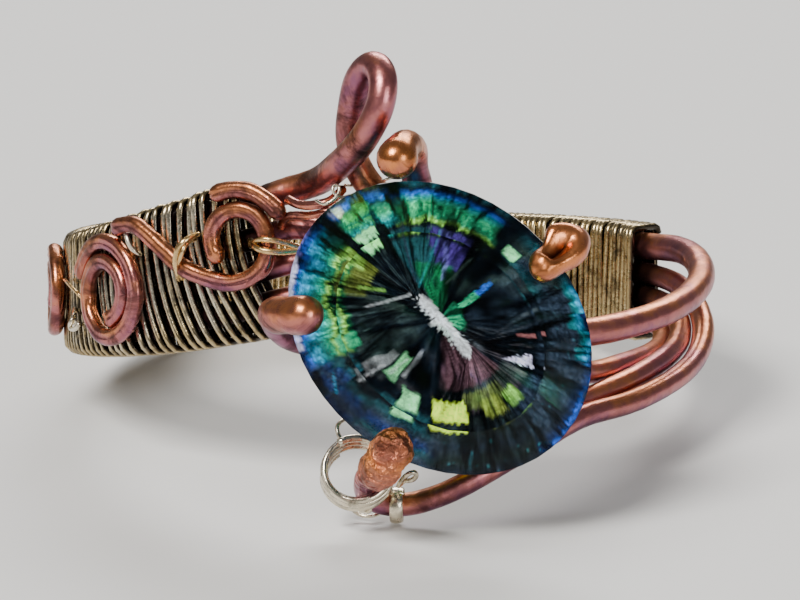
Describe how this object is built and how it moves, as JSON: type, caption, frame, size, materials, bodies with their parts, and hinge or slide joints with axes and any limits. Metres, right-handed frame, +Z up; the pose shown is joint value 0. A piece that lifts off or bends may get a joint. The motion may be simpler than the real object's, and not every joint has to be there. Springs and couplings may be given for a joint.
{
  "type": "wire wrapped ring",
  "caption": "Finger ring of bent copper wires bound with fine silver wire, with curled scrolls, a tall loop and an oval faceted stone held in wire prongs.",
  "frame": {"origin": "middle of the bounding box on the surface that the ring lies on", "axes": "+Z up, -Y the way the stone faces, +X to the right as the stone is seen; the finger hole's axis leans back from +Z by the angle at which the ring lies"},
  "size_m": [0.0221, 0.0264, 0.0145],
  "materials": {
    "copper": "worn copper, partly tarnished",
    "silver": "tarnished silver wire",
    "stone": "polished facets with a thin colour coat"
  },
  "bodies": {
    "root": {"frame_wire": "copper", "low_prong_wire": "copper", "middle_wire": "copper", "right_prong_wire": "copper", "near_scroll": "copper", "middle_scroll": "copper", "far_scroll": "copper", "arch_wire": "copper", "wire_wrap": "silver", "low_coil": "silver", "coil_strap": "silver", "stone": "stone"}
  },
  "joints": []
}
